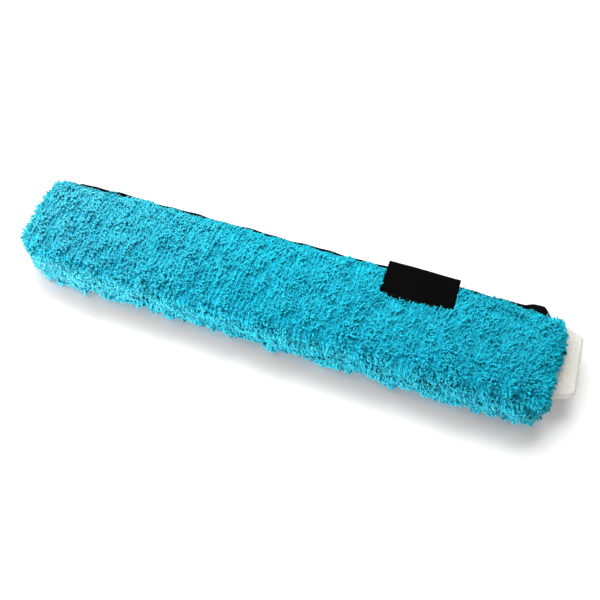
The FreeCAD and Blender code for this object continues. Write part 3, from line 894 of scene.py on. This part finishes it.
def fastening_tape(node, body, slot, material, strand, up):
    """One half of the fastening: the woven base, and its strands standing up or hanging down."""
    low, high = (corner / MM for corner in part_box(node))
    base_low, base_high = (low.z, low.z + TAPE_BASE) if up else (high.z - TAPE_BASE, high.z)
    around = ((low.y, base_low), (high.y, base_low), (high.y, base_high), (low.y, base_high))
    outline = rounded_outline([(y, z, TAPE_CORNER) for y, z in around])
    base = sweep(f"{node}_base", [(x, outline) for x in even(low.x, high.x, 12)], material)
    stands_for(base, body, slot, node)
    level = (base_high if up else base_low) * MM
    left, right = low.x + SELVEDGE, high.x - SELVEDGE
    near, far = low.y + SELVEDGE, high.y - SELVEDGE
    field_corners = ((left, near), (right, near), (right, far), (left, far))
    field_face = (0, 1, 2, 3) if up else (3, 2, 1, 0)
    mesh = bpy.data.meshes.new(node + "_field")
    mesh.from_pydata([(x * MM, y * MM, level) for x, y in field_corners], [], [field_face])
    field = new_piece(f"{node}_strands", mesh)
    run_tree(field, strand_tree, strand)
    stands_for(field, body, slot, node)


# Woven nylon is dull black with a fine grid of threads, bare nylon hooks are smooth and catch the light, and
# the sewing thread lies between the two.
tape_weave = woven_black("black_woven_nylon_tape", "#141416", 0.6 * MM, 0.9 * MM, 0.6)
hook_plastic, tree, shader = new_material("black_nylon_hooks", "#101012", Roughness=0.35)
black_thread, tree, shader = new_material(
    "black_polyester_thread", "#141416", Roughness=0.5, Specular_IOR_Level=0.15
)
hooks = {
    "Spacing": HOOK_SPACING,
    "Wire": HOOK_WIRE / 2,
    "Rise": (0, 0, 2.6 * MM),
    "Bend": (1.2 * MM, 0, 2.6 * MM),
    "End": (1.0 * MM, 0, 1.1 * MM),
    "Seed": 3,
    "Strand": hook_plastic,
}


def along_sleeve(middle):
    """The way that a seam along the sleeve runs."""
    return (1, 0, 0)


def upwards(middle):
    """The upper side of a thread that shows from above."""
    return (0, 0, 1)


def downwards(middle):
    """The upper side of a thread that shows from below."""
    return (0, 0, -1)


for side in ("left", "right"):
    fastening_tape(f"{side}_hook_tape", "sleeve", "hook_tape", tape_weave, hooks, up=True)
sew("hook_tape_stitches", "hook_tape_seams", "sleeve", "thread", black_thread, along_sleeve, upwards)

# The front lip: the upper stretch of the front layer, free on three sides, which turns up at its crease.
# The knit runs on through the crease, so a strip of it lines the inside of the crease.
LINING_REACH = 5.2 * MM
LINING_FALL = 0.35
lip_low, lip_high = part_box("lip_cloth")
front_roll_low, front_roll_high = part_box("front_binding")


def outside_of_lip(centres, normals):
    """Which faces of the lip bear pile: its front and its edge, clear of the label and of the crease."""
    x, y, z = centres.T
    slack = 0.5 * MM
    edge_band = 9 * MM
    over_roll = 0.6 * MM
    inside = normals[:, 2] < -0.3
    at_crease = (normals[:, 1] < -0.5) & (y < crease.y + slack)
    at_end = (np.abs(normals[:, 0]) > 0.7) & (y < lip_high.y - edge_band)
    under_label = (x > label_low.x - slack) & (x < label_high.x + slack) & (y > label_low.y - slack)
    under_label &= (z < label_high.z + slack) | (np.abs(normals[:, 0]) > 0.5)
    by_binding = (y > front_roll_low.y) & (z < front_roll_high.z + over_roll)
    return ~(inside | at_crease | at_end | under_label | by_binding)


lip_ground = knitted_ground("lip_cloth", "lip_ground", outside_of_lip)
stands_for(lip_ground, "front_lip", "pile", "lip_cloth")
middle_x = (lip_low.x + lip_high.x) / 2
for name, start, end in (("left_lip_pile", lip_low.x, middle_x), ("right_lip_pile", middle_x, lip_high.x)):
    pile = grow_pile(lip_ground, name, start, end, 11)
    stands_for(pile, "front_lip", "pile", "lip_cloth")

lining_mesh = bpy.data.meshes.new("crease_lining")
lining_rows = even(crease.y - LINING_REACH, crease.y + LINING_REACH, 12)
lining_ends = (pocket_low.x, pocket_high.x)
lining_mesh.from_pydata(
    [(x, y, pocket_high.z - LINING_FALL * max(0, y - crease.y)) for y in lining_rows for x in lining_ends],
    [],
    [(2 * row, 2 * row + 2, 2 * row + 3, 2 * row + 1) for row in range(len(lining_rows) - 1)],
)
lining_mesh.shade_smooth()
crease_lining = new_piece("crease_lining", lining_mesh, ground_material)
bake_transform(crease_lining)

# The loop tapes: the other half of the fastening, with soft loops, sewn under the lip face down.
# The nylon of the loops is brushed, so it is duller than that of the hooks.
LOOP_SPACING = 1.15 * MM
LOOP_FIBRE = 0.26 * MM
loop_fibre, tree, shader = new_material("black_nylon_loops", "#18181B", Roughness=0.7)
loops = {
    "Spacing": LOOP_SPACING,
    "Wire": LOOP_FIBRE / 2,
    "Rise": (-0.9 * MM, 0, 2.8 * MM),
    "Bend": (1.8 * MM, 0, 2.8 * MM),
    "End": (0.9 * MM, 0, 0),
    "Seed": 5,
    "Strand": loop_fibre,
}
for side in ("left", "right"):
    fastening_tape(f"{side}_loop_tape", "front_lip", "loop_tape", tape_weave, loops, up=False)
sew("loop_tape_stitches", "loop_tape_seams", "front_lip", "thread", black_thread, along_sleeve, downwards)

# The bindings: black grosgrain tape folded over the cut edge of each lip, one leg sewn flat inside it. The
# free fold stands past the pile and waves a little, lies flat at its ends, and at the back bulges by the
# right end. Their sizes are in millimetres.
LEG_THICK = 0.7
FLAT_FOLD = 0.6
FRONT_SEAT = 37.15
FRONT_EASE = 3
FRONT_FLAT = 1.5
FRONT_RISE = 0.7
FRONT_RIPPLES = ((0.35, 7.5, 0), (0.25, 3.1, 1))
RIPPLE_RISE = 0.4
BACK_SEAT = 37.65
BACK_LEFT_EASE = 4
BACK_RIGHT_EASE = 9
BACK_REACH = 43.0
BACK_RIPPLES = ((0.25, 9, 0), (0.2, 3.7, 0))
BULGE_START = 24
BULGE_FULL = 14
BULGE_RISE = 1.2
front_low, front_high = front_roll_low / MM, front_roll_high / MM
back_low, back_high = back_roll_low / MM, back_roll_high / MM


def ease(x, start, end):
    """From 0 at start to 1 at end, without corners."""
    share = min(1, max(0, (x - start) / (end - start)))
    return share * share * (3 - 2 * share)


def rippled(x, ripples):
    """How far waves, each with a height, a length and a shift, move the fold at x."""
    return sum(height * math.sin(x / length + shift) for height, length, shift in ripples)


def front_outline(x):
    """The section of the front binding at x."""
    ends = ease(x, front_low.x, front_low.x + FRONT_EASE)
    ends *= ease(-x, -front_high.x, -front_high.x + FRONT_EASE)
    ripple = rippled(x, FRONT_RIPPLES)
    fold = FRONT_SEAT + FLAT_FOLD + (front_high.y - FRONT_SEAT - 2 * FLAT_FOLD + ripple) * ends
    top = front_low.z + FRONT_FLAT + (FRONT_RISE + RIPPLE_RISE * ripple) * ends
    return rounded_outline(
        [
            (front_low.y, front_low.z + LEG_THICK, 0.2),
            (front_low.y, front_low.z, 0.2),
            (fold, front_low.z, 1.1),
            (fold, top, 1.1),
            (FRONT_SEAT, top, 0.8),
            (FRONT_SEAT, front_low.z + LEG_THICK, 0.2),
        ]
    )


def back_outline(x):
    """The section of the back binding at x."""
    ends = ease(x, back_low.x, back_low.x + BACK_LEFT_EASE)
    ends *= ease(-x, -back_high.x, -back_high.x + BACK_RIGHT_EASE)
    bulge = ease(x, back_high.x - BULGE_START, back_high.x - BULGE_FULL)
    ripple = rippled(x, BACK_RIPPLES)
    reach = BACK_REACH - BACK_SEAT - FLAT_FOLD + (back_high.y - BACK_REACH) * bulge + ripple
    fold = BACK_SEAT + FLAT_FOLD + reach * ends
    top = back_high.z + BULGE_RISE * bulge * ends
    return rounded_outline(
        [
            (back_low.y, back_high.z, 0.2),
            (back_low.y, back_high.z - LEG_THICK, 0.2),
            (BACK_SEAT, back_high.z - LEG_THICK, 0.2),
            (BACK_SEAT, back_low.z, 0.8),
            (fold, back_low.z, 1.2),
            (fold, top, 1.2),
            (BACK_SEAT + 1, top, 1.0),
            (BACK_SEAT, back_high.z, 0.3),
        ]
    )


# Grosgrain has thick weft ribs across a fine warp, so it looks dull and faintly ribbed.
binding_weave = woven_black("black_grosgrain_binding", "#0C0B0C", 1.4 * MM, 0.5 * MM, 0.55)
front_binding = sweep(
    "front_binding_tape", [(x, front_outline(x)) for x in even(front_low.x, front_high.x, 160)], binding_weave
)
stands_for(front_binding, "front_lip", "binding", "front_binding")
back_binding = sweep(
    "back_binding_tape", [(x, back_outline(x)) for x in even(back_low.x, back_high.x, 180)], binding_weave
)
stands_for(back_binding, "sleeve", "binding", "back_binding")
sew(
    "front_binding_stitches",
    "front_binding_seam",
    "front_lip",
    "thread",
    black_thread,
    along_sleeve,
    downwards,
)
sew("back_binding_stitches", "back_binding_seam", "sleeve", "thread", black_thread, along_sleeve, upwards)

# The label: one bare black satin ribbon folded over the lip's edge and its binding, sewn down on the front
# and held by its hem inside. The pile stands up around it and over its lower edge. Its sizes are in
# millimetres.
RIBBON = 0.85
HEM_START = 34.0
RIBBON_LIFT = 0.25
SHORT_WAVE = 9
LONG_WAVE = 23
FOLD_GIVE = 0.3
ribbon_low, ribbon_high = label_low / MM, label_high / MM


def ribbon_outline(x):
    """The section of the label at x."""
    along = x - ribbon_low.x
    lift = RIBBON_LIFT * math.sin(along / SHORT_WAVE) * math.sin(along / LONG_WAVE)
    top = ribbon_high.z + lift
    fold = ribbon_high.y + FOLD_GIVE * lift
    heel = ribbon_low.z
    return rounded_outline(
        [
            (ribbon_low.y, top, 0.3),
            (fold, top, 5),
            (fold, heel, 2.2),
            (HEM_START, heel, 0.3),
            (HEM_START, heel + RIBBON, 0.3),
            (fold - RIBBON, heel + RIBBON, 1.4),
            (fold - RIBBON, top - RIBBON, 4.2),
            (ribbon_low.y, top - RIBBON, 0.3),
        ],
        steps=8,
    )


# Satin floats its threads along the ribbon, so it is the deepest black and the smoothest of the tapes.
label_satin = woven_black("black_satin_ribbon", "#060505", 0.35 * MM, 1.2 * MM, 0.5)
label = sweep(
    "label_ribbon", [(x, ribbon_outline(x)) for x in even(ribbon_low.x, ribbon_high.x, 32)], label_satin
)
stands_for(label, "front_lip", "label", "label")
sew("label_stitches", "label_seam", "front_lip", "thread", black_thread, along_sleeve, upwards)

# The scrub pad: a firm tongue of white needled fibre, sewn into the right end and rounded where it bends.
# Its fibres mat into a soft uneven surface with a few loose ends, none of which starts at the slot's rim.
FELT_GRAIN = 0.9 * MM
FELT_SWELL = 0.5 * MM
MAT_SIZE = 3 * MM
FIBRE_SIZE = 0.8 * MM
FIBRE_RELIEF = 0.3 * MM
RIM_CLEARANCE = 1 * MM
PAD_STEP = 40 * MM

# Needled polyester felt: off-white and quite without shine, with a nap of fine fibres.
felt, tree, shader = new_material("white_needled_felt", "#ECEAE2", Roughness=0.95, Specular_IOR_Level=0.1)
place = add_node(tree, "ShaderNodeTexCoord")
fibres = add_node(
    tree, "ShaderNodeTexNoise", {"Vector": place.outputs["Object"], "Scale": 1 / FIBRE_SIZE, "Detail": 3.0}
)
nap = add_node(
    tree, "ShaderNodeBump", {"Strength": 0.6, "Distance": FIBRE_RELIEF, "Height": fibres.outputs["Fac"]}
)
tree.links.new(nap.outputs["Normal"], shader.inputs["Normal"])
felt_tree, given = new_tree("matted felt", {"Pad": "Geometry", "Felt": "Material"})
evened = add_node(
    felt_tree,
    "GeometryNodeMeshToVolume",
    {"Mesh": given["Pad"], "Interior Band Width": 4 * FELT_GRAIN, "Voxel Size": FELT_GRAIN},
    resolution_mode="VOXEL_SIZE",
)
skin = add_node(felt_tree, "GeometryNodeVolumeToMesh", {"Volume": evened.outputs[0], "Threshold": 0.1})
mats = add_node(felt_tree, "ShaderNodeTexNoise", {"Scale": 1 / MAT_SIZE, "Detail": 2.0})
swell = add_node(
    felt_tree,
    "ShaderNodeMapRange",
    {"Value": mats.outputs["Fac"], "To Min": -FELT_SWELL, "To Max": FELT_SWELL},
)
surface = add_node(felt_tree, "GeometryNodeInputNormal")
push = add_node(
    felt_tree, "ShaderNodeVectorMath", {0: surface.outputs[0], "Scale": swell.outputs[0]}, operation="SCALE"
)
matted = add_node(
    felt_tree, "GeometryNodeSetPosition", {"Geometry": skin.outputs[0], "Offset": push.outputs[0]}
)
give_back(felt_tree, matted.outputs[0], given["Felt"])
scrub_pad = new_piece("scrub_tongue_felt", cut_copy("scrub_pad", PAD_STEP))
run_tree(scrub_pad, felt_tree, {"Felt": felt})
stands_for(scrub_pad, "scrub_tongue", "scrub_pad", "scrub_pad")
nap_field = scrub_pad.data.copy()
work = bmesh.new()
work.from_mesh(nap_field)
sewn_in = [face for face in work.faces if face.calc_center_median().x < cloth_high.x + RIM_CLEARANCE]
bmesh.ops.delete(work, geom=sewn_in, context="FACES")
work.to_mesh(nap_field)
work.free()
fuzz = {
    "Spacing": 0.9 * MM,
    "Wire": 0.08 * MM,
    "Rise": (0, 0, 0.5 * MM),
    "Bend": (0.5 * MM, 0, 0.9 * MM),
    "End": (1.2 * MM, 0, 0.5 * MM),
    "Seed": 7,
    "Strand": felt,
}
nap_fibres = new_piece("scrub_tongue_fibres", nap_field)
run_tree(nap_fibres, strand_tree, fuzz)
stands_for(nap_fibres, "scrub_tongue", "scrub_pad", "scrub_pad")

# The stage: a white sheet, no wider than the lamps light it. A sun above and behind casts the shadow, a soft
# box on the left lights that end more, and a low lamp in front on the left lights the fold.
FLOOR_LIFT = 0.1
FLOOR_HALF = 0.75
SKY = 0.34
SUN = 1.5
SUN_WIDTH = math.radians(32)
SUN_DIRECTION = Vector((0.13, -0.575, -0.81))


def looked_at(tree):
    """1 where the camera sees a thing, straight on or in a shiny surface, and 0 where it only gives light."""
    seen = add_node(tree, "ShaderNodeLightPath").outputs
    either = add_node(tree, "ShaderNodeMath", {0: seen["Is Glossy Ray"], 1: seen["Is Transmission Ray"]})
    return add_node(tree, "ShaderNodeMath", {0: seen["Is Camera Ray"], 1: either.outputs[0]}).outputs[0]


# Matt white paper, which glows a little to the eye, as an overexposed ground does.
paper, tree, shader = new_material("white_paper", "#FAFAFA", Roughness=0.9, Specular_IOR_Level=0)
lift = add_node(tree, "ShaderNodeMath", {0: looked_at(tree), 1: FLOOR_LIFT}, operation="MULTIPLY")
shader.inputs["Emission Color"].default_value = linear("#FFFFFF")
tree.links.new(lift.outputs[0], shader.inputs["Emission Strength"])
floor_mesh = bpy.data.meshes.new("floor")
floor_corners = [(-1, -1), (1, -1), (1, 1), (-1, 1)]
floor_mesh.from_pydata([(x * FLOOR_HALF, y * FLOOR_HALF, 0) for x, y in floor_corners], [], [(0, 1, 2, 3)])
new_piece("floor", floor_mesh, paper)

world = bpy.data.worlds.new("studio")
world.use_nodes = True
bpy.context.scene.world = world
tree = world.node_tree
glow = add_node(tree, "ShaderNodeMapRange", {"Value": looked_at(tree), "To Min": SKY, "To Max": 1.0})
tree.nodes["Background"].inputs["Color"].default_value = linear("#FFFFFF")
tree.links.new(glow.outputs[0], tree.nodes["Background"].inputs["Strength"])


def hang(name, thing, direction, place=(0, 0, 0)):
    """Puts a lamp or a camera at a place, looking in a direction."""
    holder = bpy.data.objects.new(name, thing)
    bpy.context.scene.collection.objects.link(holder)
    holder.location = place
    holder.rotation_euler = direction.to_track_quat("-Z", "Y").to_euler()
    return holder


def soft_box(name, place, width, depth, watts):
    """A broad lamp at a place, turned towards the object."""
    lamp = bpy.data.lights.new(name, "AREA")
    lamp.shape = "RECTANGLE"
    lamp.size = width
    lamp.size_y = depth
    lamp.energy = watts
    hang(name, lamp, -Vector(place), place)


sun = bpy.data.lights.new("lamp behind", "SUN")
sun.energy = SUN
sun.angle = SUN_WIDTH
hang("lamp behind", sun, SUN_DIRECTION)
soft_box("soft box behind on the left", (-0.4, 0.25, 0.6), width=0.8, depth=0.8, watts=6.2)
soft_box("low fill from the left", (-0.4, -0.7, 0.07), width=0.7, depth=0.1, watts=6.5)

# The camera: where the outline of the sleeve in the photograph puts it.
AZIMUTH = math.radians(18.3)
ELEVATION = math.radians(61)
DISTANCE = 506.6 * MM
AIM_RIGHT = 10.5 * MM
AIM_UP = 3.1 * MM
level = math.cos(ELEVATION)
gaze = Vector((-math.sin(AZIMUTH) * level, math.cos(AZIMUTH) * level, -math.sin(ELEVATION)))
right = Vector((math.cos(AZIMUTH), math.sin(AZIMUTH), 0))
camera = bpy.data.cameras.new("camera")
camera.sensor_width = 36
camera.lens = 45
camera.clip_start = 0.01
place = right * AIM_RIGHT + right.cross(gaze) * AIM_UP - gaze * DISTANCE
bpy.context.scene.camera = hang("camera", camera, gaze, place)
bpy.context.scene.view_settings.view_transform = "Standard"
